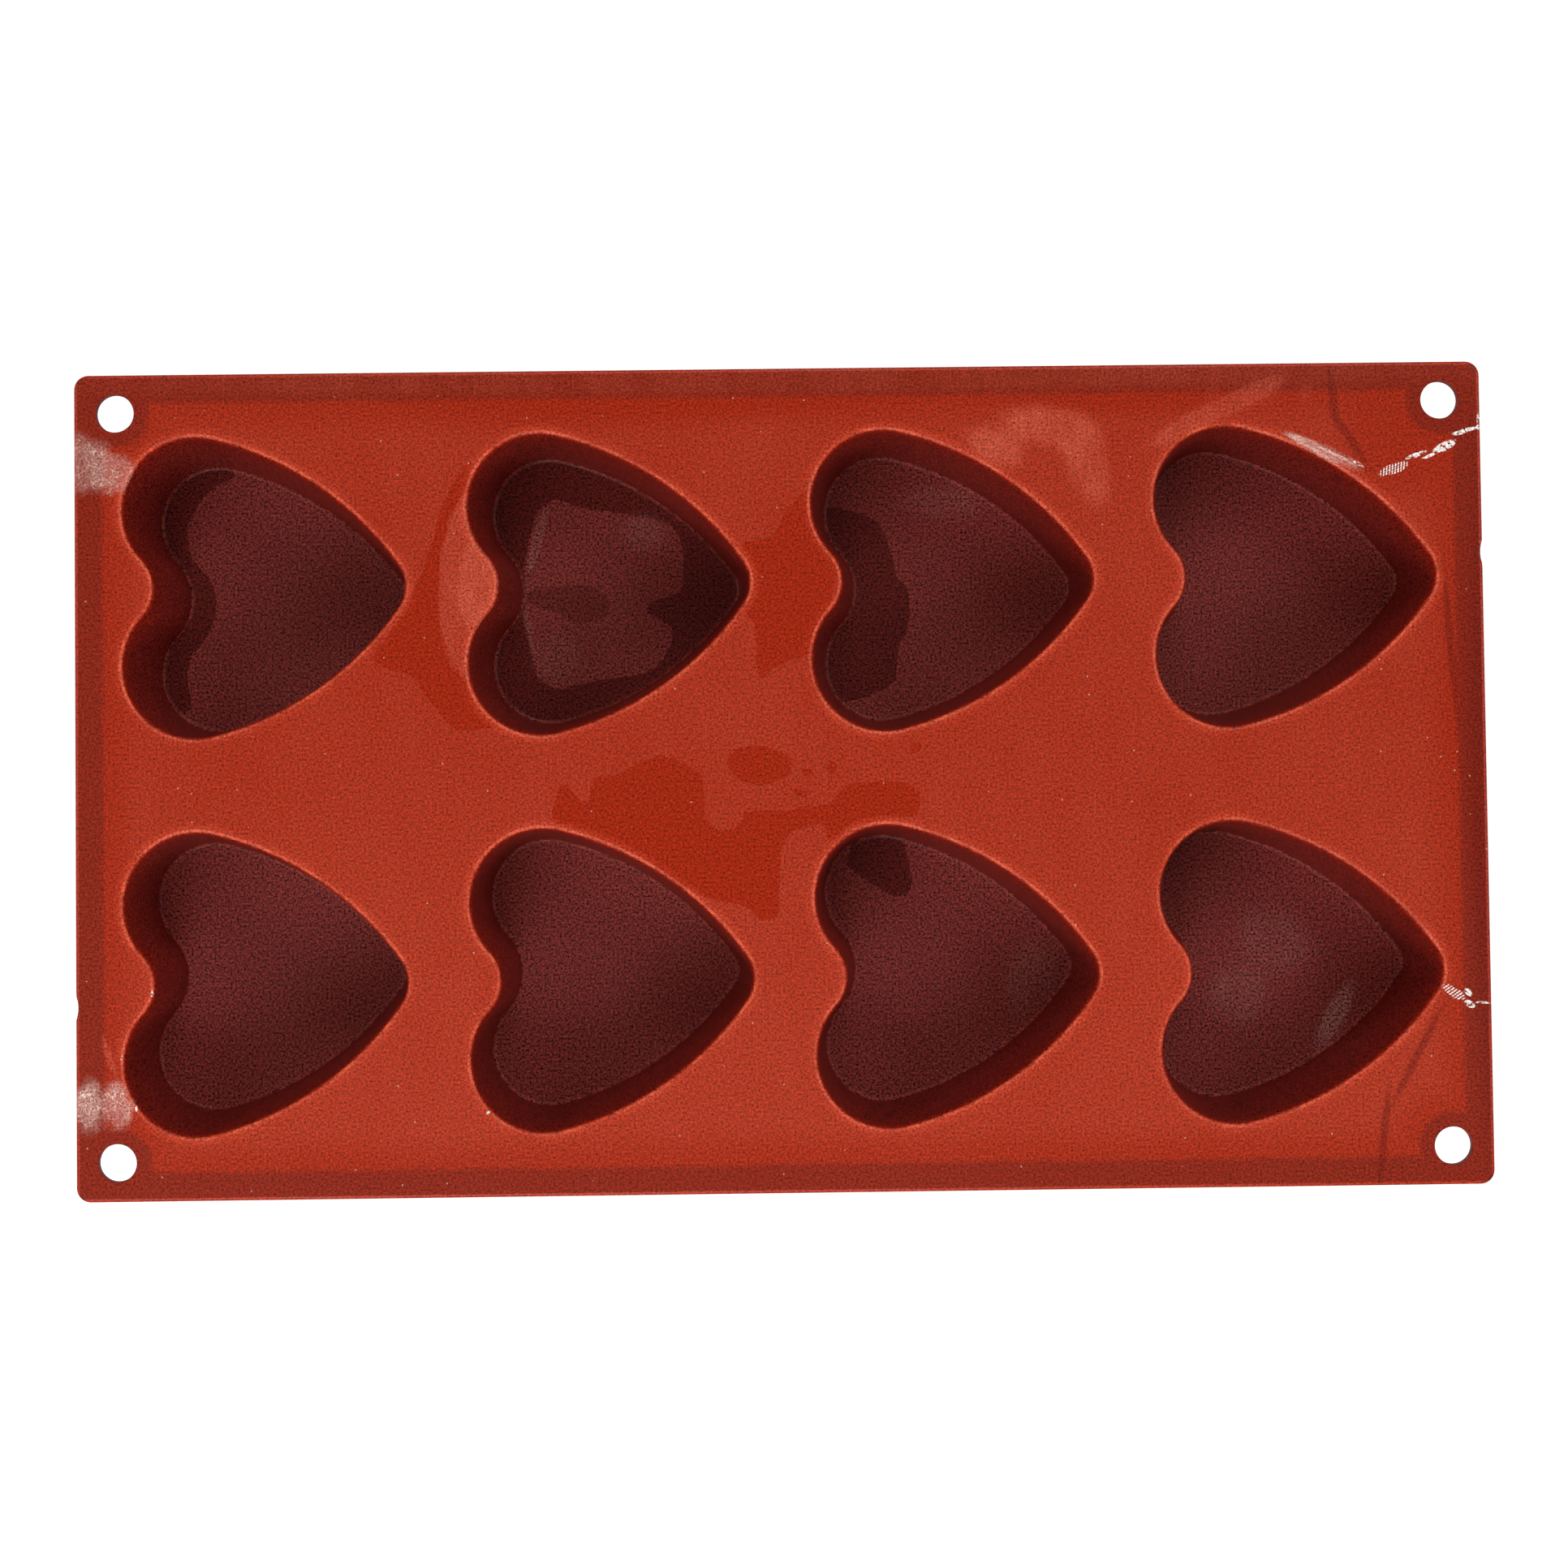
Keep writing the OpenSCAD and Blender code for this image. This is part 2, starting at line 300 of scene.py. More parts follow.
def buildMould():
    bm = bmesh.new()
    hangCups(bm)
    takeIn(bm, runRoundFrame(frameProfile()))
    pressGates(bm)
    slopeUnder(bm)
    lineHoles(bm)
    for z in (topZ, sheetUnder, bandUnder):
        bmesh.ops.triangle_fill(bm, edges=openEdges(bm, z), use_beauty=True)
    bmesh.ops.remove_doubles(bm, verts=bm.verts[:], dist=mergeGap)
    bmesh.ops.recalc_face_normals(bm, faces=bm.faces[:])
    softenEdges(bm)
    print("mould skin:", len(bm.verts), "points, open edges:", sum(len(e.link_faces) != 2 for e in bm.edges))
    bmesh.ops.scale(bm, verts=bm.verts[:], vec=(mm, mm, mm))
    mesh = bpy.data.meshes.new("heartMould")
    bm.to_mesh(mesh)
    bm.free()
    for p in mesh.polygons:
        p.use_smooth = True
    skin = bpy.data.objects.new("heartMould", mesh)
    bpy.context.scene.collection.objects.link(skin)
    normals = skin.modifiers.new("evenShading", "WEIGHTED_NORMAL")
    normals.weight = 100
    return skin


piece = buildMould()
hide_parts("mould")
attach(piece, "root")
print("mould built")


# Silicone: a painted reflection, which also stands for a film of fine dust, pales and dulls the brick red,
# and patches without it show the bare colour
silicone = {
    # colours as red, green and blue from 0 to 255
    "bare": (163, 38, 10), "dustAndReflection": (177, 55, 30), "band": (136, 33, 13), "bandDustAndReflection": (148, 46, 29),
    "edge": (186, 54, 28), "foldShade": (112, 22, 8), "halo": (206, 70, 42), "rim": (214, 88, 60),
    "sheen": (208, 92, 68), "floorSheen": (176, 116, 108), "glare": (236, 196, 182), "glint": (255, 248, 240),
    "floor": (146, 57, 51), "floorBare": (105, 33, 28), "crease": (158, 62, 50),
    # colour down a cup's wall, painted darker with depth as shade in the hollow: share of the depth, colour
    "wall": [
        (0.0, (176, 48, 22)), (0.012, (160, 36, 16)), (0.045, (146, 31, 16)),
        (0.14, (130, 30, 19)), (0.4, (124, 31, 23)), (0.97, (120, 32, 24)),
    ],
    # shares of a cup's depth between which each part fades in, and then out
    "mouthAt": (0.0005, 0.006), "rimAt": (0.0, 0.0012, 0.006, 0.013),
    "creaseAt": (0.984, 0.989, 0.991, 0.996), "floorAt": (0.993, 0.998),
    "foldShadeShare": 0.55, "haloShare": 0.42, "edgeLine": 0.9,
    "bareRough": 0.3, "filmRough": 0.46, "grainRough": 0.08, "specular": 0.25, "ior": 1.41,
    "grain": 2.5, "cupGrain": 5.0, "wander": 1.2, "bump": 0.35, "bumpHeight": 0.00005,
}
noises = {  # scale per mm, detail, roughness
    "drift": (0.22, 2.0, 0.5), "bandWobble": (0.25, 1.0, 0.5), "broad": (0.03, 3.0, 0.55),
    "cloudy": (0.16, 4.0, 0.6), "halo": (0.06, 2.0, 0.5), "rim": (0.12, 3.0, 0.5),
    "scratches": (1.6, 3.0, 0.6), "wrinkles": (0.5, 1.5, 0.5), "streaks": (1.5, 2.0, 0.5),
    "torn": (1.1, 3.0, 0.7), "grain": (2.0, 1.0, 0.7), "fineBump": (1.6, 2.0, 0.5),
    "broadBump": (0.12, 1.0, 0.5),
}
specks = {"scale": 0.32, "size": (0.045, 0.07), "keptAbove": 0.72, "share": 0.55}

# Bare patches between two bounds: the direction they run in, then places along it with both bounds,
# read in mm from the photo
sheetStrips = {
    "centre": ("x", [
        (-49.5, -7, -8), (-48, -9, -3.5), (-46.5, -9.5, -1), (-41.5, -11, -4.5), (-40, -12, 0.8),
        (-35, -14, 1.5), (-30, -17, 4), (-25.5, -20, 5), (-20, -23, 3), (-17.5, -24.5, 1.5),
        (-16.5, -25, -7), (-13, -26, -10.8), (-9, -26.5, -9), (-8, -27, -6.8), (-4, -29.8, -6.6),
        (-1.6, -29, -6.8), (-0.8, -17, -6.8), (1, -12, -6.8), (4, -10.3, -6), (8.5, -9.8, -5.7),
        (9.5, -13, -5.5), (13, -11, -2), (16, -9.5, -1), (24, -8.5, -0.8), (28, -8, -2), (29.2, -4, -5),
    ]),
    "leftCrescent": ("y", [
        (11, -68, -69), (12, -70, -60), (18, -75.5, -64), (22, -78, -67.5), (25, -85, -70.5),
        (27, -86.5, -71.5), (30, -84.5, -72.2), (38, -79.3, -72.8), (42, -77.5, -72.7),
        (50, -74.5, -72), (58, -72, -69.5), (66, -68, -65.8), (69, -65, -66),
    ]),
    "betweenHearts": ("y", [
        (21, -3.6, -4.6), (22, -4.8, -3.2), (24, -5.2, -0.5), (25.5, -5.4, 3), (27, -5.4, 8),
        (32, -5.4, 9), (36, -8, 10), (49, -9, 13), (51, -5, 12), (52, -1.5, 12), (56, 1, 12),
        (60, 4, 12), (63, 8, 7),
    ]),
}
floorStrips = {
    "left": ("y", [
        (16, -130, -131), (17, -160, -130), (24, -160, -130.6), (28, -160, -129.6), (32, -160, -126.8),
        (36, -160, -124.7), (40, -160, -124), (44, -160, -124.8), (46, -160, -126), (50, -160, -129.5),
        (55, -160, -130.6), (60, -160, -129), (63, -160, -127.2), (66.5, -160, -123),
        (68.5, -160, -120), (69.5, -120, -121),
    ]),
    "third": ("y", [
        (16.5, 15, 14), (17.2, 0, 17), (18.5, 0, 21.5), (20.5, 0, 24.8), (23, 0, 26), (29, 0, 26.6),
        (31.5, 0, 28.4), (38, 0, 29), (42.5, 0, 28.3), (44.5, 0, 26.3), (49, 0, 25.4), (54, 0, 23.6),
        (57.5, 0, 20.3), (59, 0, 15), (59.8, 14, 13),
    ]),
    "lowerThird": ("x", [
        (14, -19, -20), (15, -20, -17.5), (17.5, -21.8, -12.5), (20, -23.5, -12.5), (22.6, -25.3, -12.5),
        (25, -26.3, -12.5), (26.5, -26.3, -13.5), (27.6, -25.8, -17.5), (28.5, -24, -21), (29, -22, -23),
    ]),
}
# The floor of the second cup of the far row is bare all round this patch
litFloor = ("y", [
    (19.8, -48, -49), (20.6, -50, -46), (22, -52.5, -40), (24, -54, -28.5), (27, -54.5, -25),
    (33, -55.5, -23.6), (35, -55.8, -26), (37.5, -56, -29), (40, -56, -26), (41, -56, -22.5),
    (44, -56, -20.9), (50, -55.6, -21), (54, -54.8, -22), (57, -53.9, -26), (58.5, -53.4, -33),
    (60.5, -52, -44), (62, -50, -48.5), (62.5, -49, -50),
])

# Smaller patches are sums of soft ellipses: middle and half axes in mm, and turn in degrees
islands = [
    (-5, 3, 7, 4, 174), (3.8, -2.9, 1.6, 0.8, 160), (5.2, 1.4, 1.1, 0.6, 160),
    (10.3, 2.3, 0.9, 1.3, 10), (28.4, 6.4, 1.2, 0.9, 0),
]
# Dark lines painted as the shade along small folds, and a wide one as painted shade along the right border
foldAndShadeLines = [
    (118.4, 81.5, 0.85, 7, 6), (121.9, 71.4, 0.85, 6.5, 32), (142.6, 28, 0.7, 15, 4),
    (134, -60, 0.8, 11, 152), (126.4, -78, 0.8, 11, 174), (151, -8, 5, 76, 0),
]
floorShade = [(-43.6, 39.0, 6.4, 4.1, 172), (-51.5, 40.4, 4.2, 2.0, 176)]

# Wider and fainter ones: share of the full effect, softness, ellipses
# Where the painted reflection and the dust are weaker, at the top and the right
weakerDustAndReflection = {
    "topAndRight": (0.75, 0.2, [
        (-38, 84, 42, 8, 0), (10, 85, 34, 5, 0), (75, 81, 26, 3.5, 0), (133, 73, 12, 14, 0),
        (150, 25, 8, 55, 0),
    ]),
}
# Painted sheen on the sheet
sheenPatches = {
    "cloud": (0.45, 0.2, [(57, 74.5, 9, 4, 172), (46, 70, 6, 3, 150), (66, 66, 4, 8, 15)]),
    "lens": (0.22, 0.02, [(-63.3, 42, 9.4, 21, 178)]),
    "besideNotch": (0.5, 0.06, [(-64.2, 41.5, 4.8, 10.5, 0)]),
    "sweep": (0.3, 0.2, [(100, 80.4, 10, 2.2, 26), (86, 74, 8, 1.8, 30)]),
    "topStreaks": (0.1, 0.2, [(93, 84, 1.6, 5, 176), (104, 84, 2.6, 5, 176), (113, 84, 1.4, 5, 176)]),
    "leftCurve": (0.4, 0.1, [(-143.1, -56.6, 0.7, 4.2, 18)]),
    "topBand": (0.12, 0.2, [(0, 85.5, 140, 3.4, 0)]),
}
# Painted sheen on the floors
floorSheenPatches = {
    "slivers": (0.3, 0.08, [(-53.2, 53, 1.2, 7.4, 164), (-55.1, 33, 0.8, 5.4, 12)]),
    "sheenStreak": (0.5, 0.22, [(121.9, -53.7, 2.2, 7.5, 150)]),
    "veils": (0.16, 0.22, [
        (36.5, 60.5, 8, 3.4, 175), (54.5, -44.5, 5, 8, 160), (-29.5, 54.5, 4.5, 4, 0), (-49, 27, 5, 5, 0),
    ]),
    "rings": (0.2, 0.22, [(109.3, -37.2, 8, 6, 150), (100.4, -49.2, 6, 6, 0)]),
}
glarePatches = {
    "leftTop": (0.3, 0.17, [(-148.6, 68.6, 4.8, 5.6, 170), (-142.0, 66.6, 5.0, 3.6, 165)]),
    "leftBottom": (0.36, 0.17, [(-147.3, -67.4, 3.0, 5.0, 0)]),
    "leftBottomRight": (0.34, 0.17, [(-141.5, -67.2, 3.0, 4.4, 0)]),
}
rimStreaks = {
    "lastHeart": (0.42, 0.2, [(112.8, 70.3, 4.6, 0.9, 156), (118.6, 67.4, 5.0, 1.2, 155)]),
}

# Crackled light: bright shreds, and combs of dashes
shreds = [
    (136.2, 67.6, 2.2, 0.5, 24), (139, 67.4, 1.6, 0.34, 22), (142.2, 69.4, 2.6, 0.85, 24),
    (146.6, 72.6, 2.6, 0.5, 16), (149.6, 74.4, 0.4, 1.8, 0), (144.9, -47.2, 1.1, 0.55, 150),
    (145.3, -49.4, 1.3, 0.55, 150), (148.4, -49.2, 1.6, 0.22, 178), (123.6, 65.9, 1.3, 0.24, 154),
    (-134.1, -43.6, 0.22, 0.6, 0), (-137.3, -67.8, 0.24, 0.6, 10), (-140.2, -57.1, 0.2, 0.6, 0),
    (-63.4, -69.8, 0.5, 0.2, 30),
]
combs = [(131.3, 64.6, 3.5, 1.0, 22), (141.8, -46.9, 2.6, 0.9, 150)]
dashes = {"lean": 0.5, "pitch": 0.68, "rowPitch": 0.5, "rowShare": 0.6}


def srgb(*levels):
    linear = [((c / 255 + 0.055) / 1.055) ** 2.4 if c > 10 else c / 255 / 12.92 for c in levels]
    return (*linear, 1.0)


material = bpy.data.materials.new("brickSilicone")
material.use_nodes = True
tree = material.node_tree
shader = tree.nodes["Principled BSDF"]


# Adds a node, feeds its sockets in order with links or plain values, and returns one output
def add(kind, feeds=(), out=0, **settings):
    node = tree.nodes.new("ShaderNode" + kind)
    for name, value in settings.items():
        setattr(node, name, value)
    for socket, feed in zip(node.inputs, feeds):
        if isinstance(feed, bpy.types.NodeSocket):
            tree.links.new(feed, socket)
        elif feed is not None:
            socket.default_value = feed
    return node.outputs[out]


def calc(operation, *feeds):
    return add("Math", feeds, operation=operation)


def times(total, *shares):
    for share in shares:
        total = calc("MULTIPLY", total, share)
    return total


def most(shares):
    total = shares[0]
    for share in shares[1:]:
        total = calc("MAXIMUM", total, share)
    return total


def fade(value, low, high, start=0.0, end=1.0):
    return add("MapRange", (value, low, high, start, end), interpolation_type="SMOOTHSTEP")


# Fades in between the first two bounds and out between the last two
def between(value, low, high, outLow, outHigh):
    return times(fade(value, low, high), fade(value, outLow, outHigh, 1.0, 0.0))


# 1 outside a patch, and what is left inside it
def outsideOf(share, left=0.0):
    return fade(share, 0.0, 1.0, 1.0, left)


def blend(share, a, b):
    a, b = (srgb(*c) if isinstance(c, tuple) else c for c in (a, b))
    return add("Mix", (share, None, None, None, None, None, a, b), out=2, data_type="RGBA")


def noise(where, name, out=0, dimensions="2D"):
    return add("TexNoise", (where, None, *noises[name]), out=out, noise_dimensions=dimensions)


# Place on the object in mm, flat seen from above, and the same a little wandering for ragged outlines
place = add("Mapping", (add("TexCoord", out=3), None, None, (1000, 1000, 1000)))
flat = add("Mapping", (add("TexCoord", out=3), (0, 0, 1), None, (1000, 1000, 0)))
wander = silicone["wander"]
centred = (-wander / 2, -wander / 2, 0)
drift = add("Mapping", (noise(flat, "drift", out=1), centred, None, (wander, wander, 0)))
ragged = add("VectorMath", (flat, drift))
raggedX, raggedY = add("SeparateXYZ", (ragged,)).node.outputs[:2]
x, y, z = add("SeparateXYZ", (place,)).node.outputs


# The flat place turned and narrowed, for a noise that runs in one direction
def grained(turn, narrow):
    return add("Mapping", (flat, None, (0, 0, turn), (1, narrow, 1)))


# Run along a line in the sheet's plane, in units of the given length (a flat place has z = 1)
def dot(where, line, length):
    return add("VectorMath", (where, tuple(c / length for c in line)), out=1, operation="DOT_PRODUCT")


# Share of a patch of ellipses at each point: 1 inside its outline, 0 outside
def patch(rows, soft=0.03, where=None):
    where = where or ragged
    level = 0.25  # the sum at which the outline lies, on the half axes of a lone ellipse
    total = 0.0
    for cx, cy, rx, ry, turn in rows:
        c, s = math.cos(math.radians(turn)), math.sin(math.radians(turn))
        u = dot(where, (c, s, -c * cx - s * cy), 2 * rx)
        v = dot(where, (-s, c, s * cx - c * cy), 2 * ry)
        away = add("VectorMath", (add("CombineXYZ", (u, v)),), out=1, operation="LENGTH")
        middle = add("Math", (1.0, away), operation="SUBTRACT", use_clamp=True)
        total = calc("MULTIPLY_ADD", middle, middle, total)
    return fade(total, level - soft, level + soft)


# The strongest of several patches, each with its share of the full effect and its softness
def strongest(patches, where):
    return most([times(patch(rows, soft, where), share) for share, soft, rows in patches.values()])


# Share of a patch that lies between two curves along its run
def strip(axis, knots, soft=0.15):
    run, side = (raggedX, raggedY) if axis == "x" else (raggedY, raggedX)
    start, length = knots[0][0], knots[-1][0] - knots[0][0]
    base = min(min(k[1:]) for k in knots)
    span = max(max(k[1:]) for k in knots) - base
    run = calc("MULTIPLY_ADD", run, 1 / length, -start / length)
    side = calc("MULTIPLY_ADD", side, 1 / span, -base / span)
    bounds = []
    for k in (1, 2):
        curve = add("FloatCurve", (1.0, run)).node
        points = curve.mapping.curves[0].points
        points[0].location = (0.0, (knots[0][k] - base) / span)
        points[1].location = (1.0, (knots[-1][k] - base) / span)
        for knot in knots[1:-1]:
            points.new((knot[0] - start) / length, (knot[k] - base) / span)
        for point in points:
            point.handle_type = "AUTO_CLAMPED"
        curve.mapping.extend = "HORIZONTAL"
        curve.mapping.update()
        bounds.append(curve.outputs[0])
    inside = calc("MINIMUM", calc("SUBTRACT", side, bounds[0]), calc("SUBTRACT", bounds[1], side))
    return fade(inside, -soft / span, soft / span)


# Masks of the sheet's upper face, the thick band with its corner pads, and the outer edge line that gets a
# painted highlight
upper = fade(z, topZ - 1.0, topZ - 0.6)
across, along = calc("ABSOLUTE", x), calc("ABSOLUTE", y)
nearHole = add("CombineXYZ", (calc("MINIMUM", across, holeX), calc("MINIMUM", along, holeY)))
padDistance = add("VectorMath", (nearHole, (holeX, holeY, 0)), out=1, operation="DISTANCE")
bandX = calc("SUBTRACT", across, halfX - mould["bandWidth"])
bandY = calc("SUBTRACT", along, halfY - mould["bandWidth"])
inBand = most([bandX, bandY, calc("SUBTRACT", padR, padDistance)])
bandShare = fade(calc("MULTIPLY_ADD", noise(place, "bandWobble"), 0.8, inBand), -0.5, 1.2)
edgeX = calc("SUBTRACT", across, halfX - silicone["edgeLine"])
edgeY = calc("SUBTRACT", along, halfY - silicone["edgeLine"])
edgeShare = fade(most([edgeX, edgeY]), 0.0, 0.5)

# Cups: depth down the wall, the rolled rim and the crease, which both get a painted highlight, and the floor
cup = add("Attribute", out=2, attribute_name="cup")
rimShare = between(cup, *silicone["rimAt"])
creaseShare = between(cup, *silicone["creaseAt"])
floorShare = fade(cup, *silicone["floorAt"])

# Painted reflection on the sheet, which also stands for a rougher film of dust: stronger towards the near
# edge, where it paints the near lamp's sheen, and weaker along the border
broad = noise(flat, "broad")
cloudy = noise(grained(0.5, 0.35), "cloudy")
dustAndReflection = calc("MULTIPLY_ADD", broad, 0.5, calc("MULTIPLY_ADD", cloudy, 0.4, fade(y, 10.0, -60.0, 0.1, 0.4)))
dustAndReflection = times(dustAndReflection, calc("SUBTRACT", 1.0, strongest(weakerDustAndReflection, flat)), fade(inBand, -9.0, -1.0, 1.0, 0.4))
sheetBare = most([strip(*each) for each in sheetStrips.values()] + [patch(islands)])
dustAndReflection = times(dustAndReflection, outsideOf(sheetBare))

# Painted reflection on the floors, which also stands for a rougher film of dust
inSecond = times(calc("COMPARE", x, -pitchX / 2, pitchX / 2), calc("GREATER_THAN", y, 0.0))
unlit = times(inSecond, outsideOf(strip(*litFloor)))
floorBare = most([strip(*each) for each in floorStrips.values()] + [unlit])
floorDustAndReflection = times(outsideOf(floorBare), add("MapRange", (broad, 0.3, 0.7, 0.75, 1.0)))
floorDustAndReflection = times(floorDustAndReflection, outsideOf(patch(floorShade, 0.05), 0.4))

# Colour of the sheet, with a paler halo of painted light round each rolled rim
sheetColour = blend(dustAndReflection, silicone["bare"], silicone["dustAndReflection"])
# The thick band is painted darker, as shade where less light shines through the thicker silicone
sheetColour = blend(bandShare, sheetColour, blend(dustAndReflection, silicone["band"], silicone["bandDustAndReflection"]))
# Painted shade of the folds and of the right border
foldShadeShare = times(patch(foldAndShadeLines, 0.2, flat), silicone["foldShadeShare"])
sheetColour = blend(foldShadeShare, sheetColour, silicone["foldShade"])
halo = fade(add("Attribute", out=2, attribute_name="halo"), 0.2, 1.0, 0.0, silicone["haloShare"])
haloShare = times(halo, fade(noise(flat, "halo"), 0.35, 0.6, 0.35, 1.0))
sheetColour = blend(haloShare, sheetColour, silicone["halo"])
# Painted light along the rounded outer edge
sheetColour = blend(edgeShare, sheetColour, silicone["edge"])

# Colour down the cups, painted darker with depth as shade in the hollow
ramp = add("ValToRGB", (cup,)).node
stops = ramp.color_ramp.elements
for stop, (position, shade) in zip(stops, (silicone["wall"][0], silicone["wall"][-1])):
    stop.position = position
    stop.color = srgb(*shade)
for position, shade in silicone["wall"][1:-1]:
    stops.new(position).color = srgb(*shade)
# A painted highlight along the crease, where the wall rounds into the floor
cupColour = blend(creaseShare, ramp.outputs[0], silicone["crease"])
# The floors are painted darker than the sheet as shade in the hollows, and paler where they carry the painted
# reflection
cupColour = blend(floorShare, cupColour, blend(floorDustAndReflection, silicone["floorBare"], silicone["floor"]))
colour = blend(fade(cup, *silicone["mouthAt"]), sheetColour, cupColour)
# Painted highlight along each rolled rim
colour = blend(times(rimShare, fade(noise(flat, "rim"), 0.38, 0.6, 0.4, 1.0)), colour, silicone["rim"])

# Painted sheen on the sheet, which only reddens it, and painted sheen on the floors
scratches = noise(grained(0.05, 0.08), "scratches")
mottled = fade(cloudy, 0.3, 0.65, 0.6, 1.3)
sheen = times(strongest(sheenPatches, flat), fade(scratches, 0.35, 0.65, 0.75, 1.1), mottled)
colour = blend(times(sheen, upper), colour, silicone["sheen"])
floorSheen = times(strongest(floorSheenPatches, flat), fade(cloudy, 0.35, 0.65, 0.7, 1.2))
colour = blend(times(floorSheen, floorShare), colour, silicone["floorSheen"])

# Whitish glare, wrinkled in the corners and in streaks along the last heart's rim
loose = add("VectorMath", (drift, (3, 3, 0), flat), operation="MULTIPLY_ADD")
wrinkles = calc("ABSOLUTE", calc("SUBTRACT", noise(flat, "wrinkles"), 0.5))
smear = times(strongest(glarePatches, loose), fade(wrinkles, 0.0, 0.035, 2.3, 0.9), mottled)
alongRim = add("Mapping", (flat, None, (0, 0, math.radians(155)), (9, 1, 1)), vector_type="TEXTURE")
streaks = times(strongest(rimStreaks, flat), fade(noise(alongRim, "streaks"), 0.35, 0.62, 0.45, 1.7))
colour = blend(times(most([smear, streaks]), upper), colour, silicone["glare"])

# Crackled light
torn = fade(noise(flat, "torn"), 0.4, 0.5)
crackles = [times(patch(shreds, 0.07), torn)]
for cx, cy, rx, ry, turn in combs:
    c, s = math.cos(math.radians(turn)), math.sin(math.radians(turn))
    slant = (c + dashes["lean"] * s, s - dashes["lean"] * c, 0)
    teeth = calc("SINE", dot(flat, slant, dashes["pitch"] / math.tau))
    teethRows = calc("SINE", dot(flat, (-s, c, s * cx - c * cy), dashes["rowPitch"] / math.tau))
    dashed = fade(calc("MULTIPLY_ADD", teethRows, dashes["rowShare"], teeth), 0.0, 0.5)
    crackles.append(times(patch([(cx, cy, rx, ry, turn)], 0.05), dashed))
colour = blend(times(most(crackles), upper), colour, silicone["glint"])

# Fine grain and a few specks of dust
grain = noise(place, "grain", dimensions="3D")
grainDepth = fade(cup, 0.0, 0.05, silicone["grain"], silicone["cupGrain"])
brightness = calc("MULTIPLY_ADD", calc("SUBTRACT", grain, 0.5), grainDepth, 1.0)
colour = add("HueSaturation", (None, None, brightness, None, colour))
speckCells = add("TexVoronoi", (place, None, specks["scale"]), feature="F1")
speckKind = add("SeparateColor", (speckCells.node.outputs["Color"],))
isSpeck = calc("GREATER_THAN", speckKind, specks["keptAbove"])
speckShare = times(fade(speckCells, *specks["size"], 1.0, 0.0), isSpeck, upper, specks["share"])
colour = blend(speckShare, colour, silicone["glare"])
tree.links.new(colour, shader.inputs["Base Color"])

# Gloss and surface
filmHere = blend(floorShare, dustAndReflection, floorDustAndReflection)
rough = add("MapRange", (filmHere, 0.0, 1.0, silicone["bareRough"], silicone["filmRough"]))
rough = calc("MULTIPLY_ADD", grain, silicone["grainRough"], rough)
tree.links.new(rough, shader.inputs["Roughness"])
swell = times(noise(place, "broadBump", dimensions="3D"), 4.0)
height = calc("ADD", noise(place, "fineBump", dimensions="3D"), swell)
bump = add("Bump", (silicone["bump"], silicone["bumpHeight"], None, height))
tree.links.new(bump, shader.inputs["Normal"])
shader.inputs["IOR"].default_value = silicone["ior"]
shader.inputs["Specular IOR Level"].default_value = silicone["specular"]
piece.data.materials.append(material)
print("silicone mixed:", len(tree.nodes), "nodes")


# White floor: the camera sees it glow, the mould only gets the light that it reflects
stage = {"size": 3.0, "below": 0.0002, "colour": 0.5, "rough": 0.9, "glow": 0.78}


def buildFloor():
    bm = bmesh.new()
    bmesh.ops.create_grid(bm, x_segments=1, y_segments=1, size=stage["size"])
    mesh = bpy.data.meshes.new("floor")
    bm.to_mesh(mesh)
    bm.free()
    floor = bpy.data.objects.new("floor", mesh)
    floor.location.z = -stage["below"]
    bpy.context.scene.collection.objects.link(floor)
    white = bpy.data.materials.new("floorWhite")
    white.use_nodes = True
    nodes, links = white.node_tree.nodes, white.node_tree.links
    surface = nodes["Principled BSDF"].inputs
    surface["Base Color"].default_value = (stage["colour"],) * 3 + (1,)
    surface["Roughness"].default_value = stage["rough"]
    surface["Emission Color"].default_value = (1, 1, 1, 1)
    glow = nodes.new("ShaderNodeMath")
    glow.operation = "MULTIPLY"
    glow.inputs[1].default_value = stage["glow"]
    links.new(nodes.new("ShaderNodeLightPath").outputs["Is Camera Ray"], glow.inputs[0])
    links.new(glow.outputs[0], surface["Emission Strength"])
    floor.data.materials.append(white)


buildFloor()
print("floor laid")


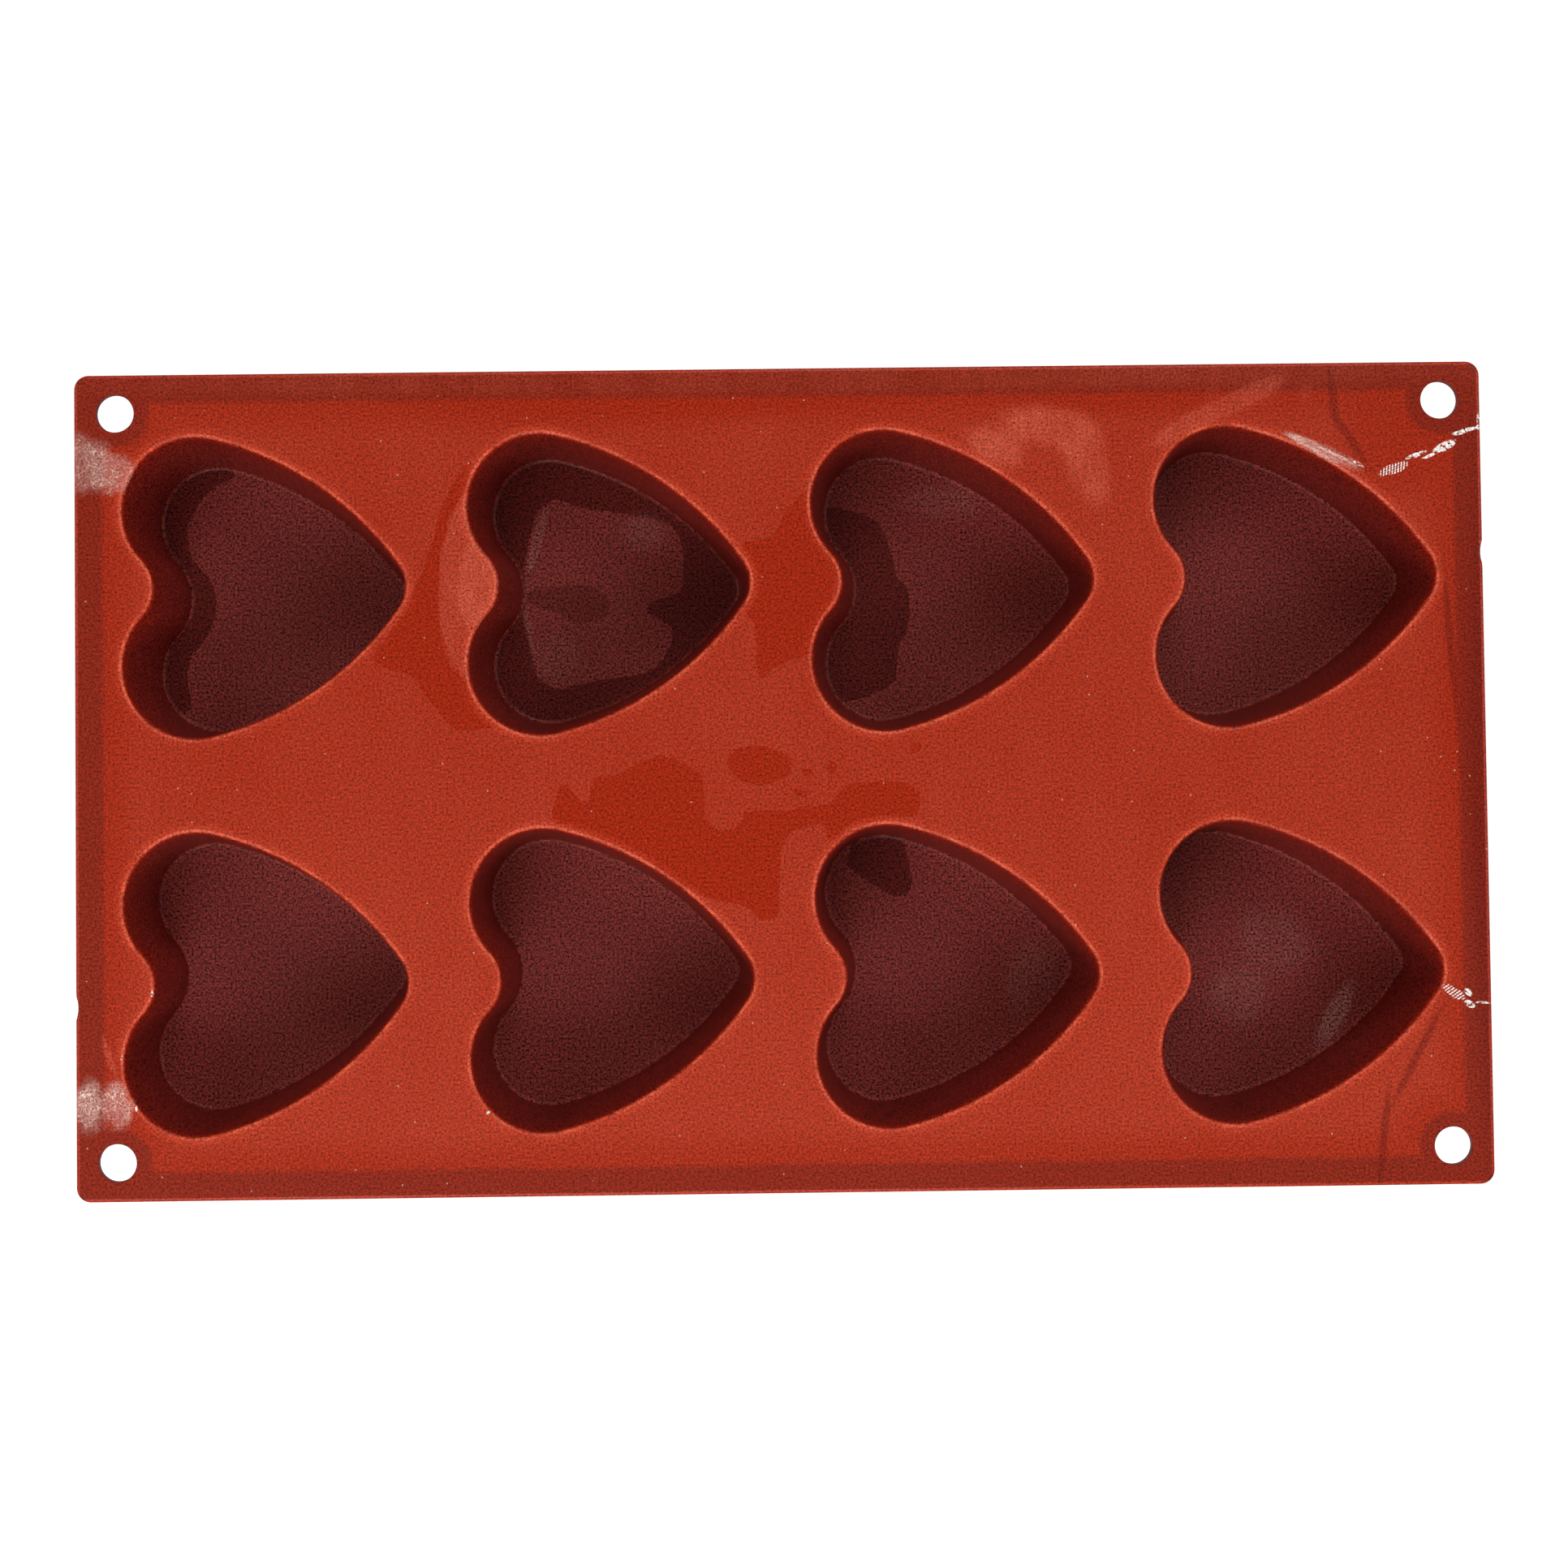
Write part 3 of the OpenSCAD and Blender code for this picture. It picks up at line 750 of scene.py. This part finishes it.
# Four lamps all aim at the mould: place in metres, size, power
lampAim = (0, 0, 0.03)
lamps = {
    "near": ((-0.14, -0.62, 0.62), 0.5, 4.3),
    "far": ((0.2, 1.0, 1.1), 0.8, 6.2),
    "left": ((-1.1, 0.1, 1.1), 0.8, 5.1),
    "right": ((1.1, 0.1, 1.1), 0.8, 6.2),
}
for name, (stand, size, power) in lamps.items():
    light = bpy.data.lights.new(name, "AREA")
    light.size = size
    light.energy = power
    lamp = bpy.data.objects.new(name, light)
    lamp.location = stand
    lamp.rotation_euler = (Vector(lampAim) - Vector(stand)).to_track_quat("-Z", "Y").to_euler()
    bpy.context.scene.collection.objects.link(lamp)

sky = {"lights": 0.1, "seen": 1.0}  # strength on the mould, and as the camera sees it
world = bpy.data.worlds.new("studio")
world.use_nodes = True
bpy.context.scene.world = world
skyNodes, skyLinks = world.node_tree.nodes, world.node_tree.links
background = skyNodes["Background"].inputs
background["Color"].default_value = (1, 1, 1, 1)
strength = skyNodes.new("ShaderNodeMapRange")
strength.inputs["To Min"].default_value = sky["lights"]
strength.inputs["To Max"].default_value = sky["seen"]
skyLinks.new(skyNodes.new("ShaderNodeLightPath").outputs["Is Camera Ray"], strength.inputs["Value"])
skyLinks.new(strength.outputs[0], background["Strength"])
print("lamps and sky set")


# The camera stands where the photo's outlines say it stood: place in mm, directions across and up
camera = {
    "place": (-14.64, 6.35, 905.06), "right": (0.99982, -0.01181, 0.01459), "up": (0.01109, 0.99877, 0.04824),
    "lens": 93.77, "sensor": 36.0, "shift": (0.0068, -0.1476), "clip": (0.01, 20.0),
}
eye = bpy.data.cameras.new("camera")
eye.lens = camera["lens"]
eye.sensor_width = camera["sensor"]
eye.shift_x, eye.shift_y = camera["shift"]
eye.clip_start, eye.clip_end = camera["clip"]
cam = bpy.data.objects.new("camera", eye)
right = Vector(camera["right"]).normalized()
back = right.cross(Vector(camera["up"])).normalized()
up = back.cross(right)
facing = Matrix((right, up, back)).transposed()
cam.matrix_world = Matrix.Translation(Vector(camera["place"]) * mm) @ facing.to_4x4()
bpy.context.scene.collection.objects.link(cam)
bpy.context.scene.camera = cam
bpy.context.scene.view_settings.view_transform = "Standard"
print("camera placed")
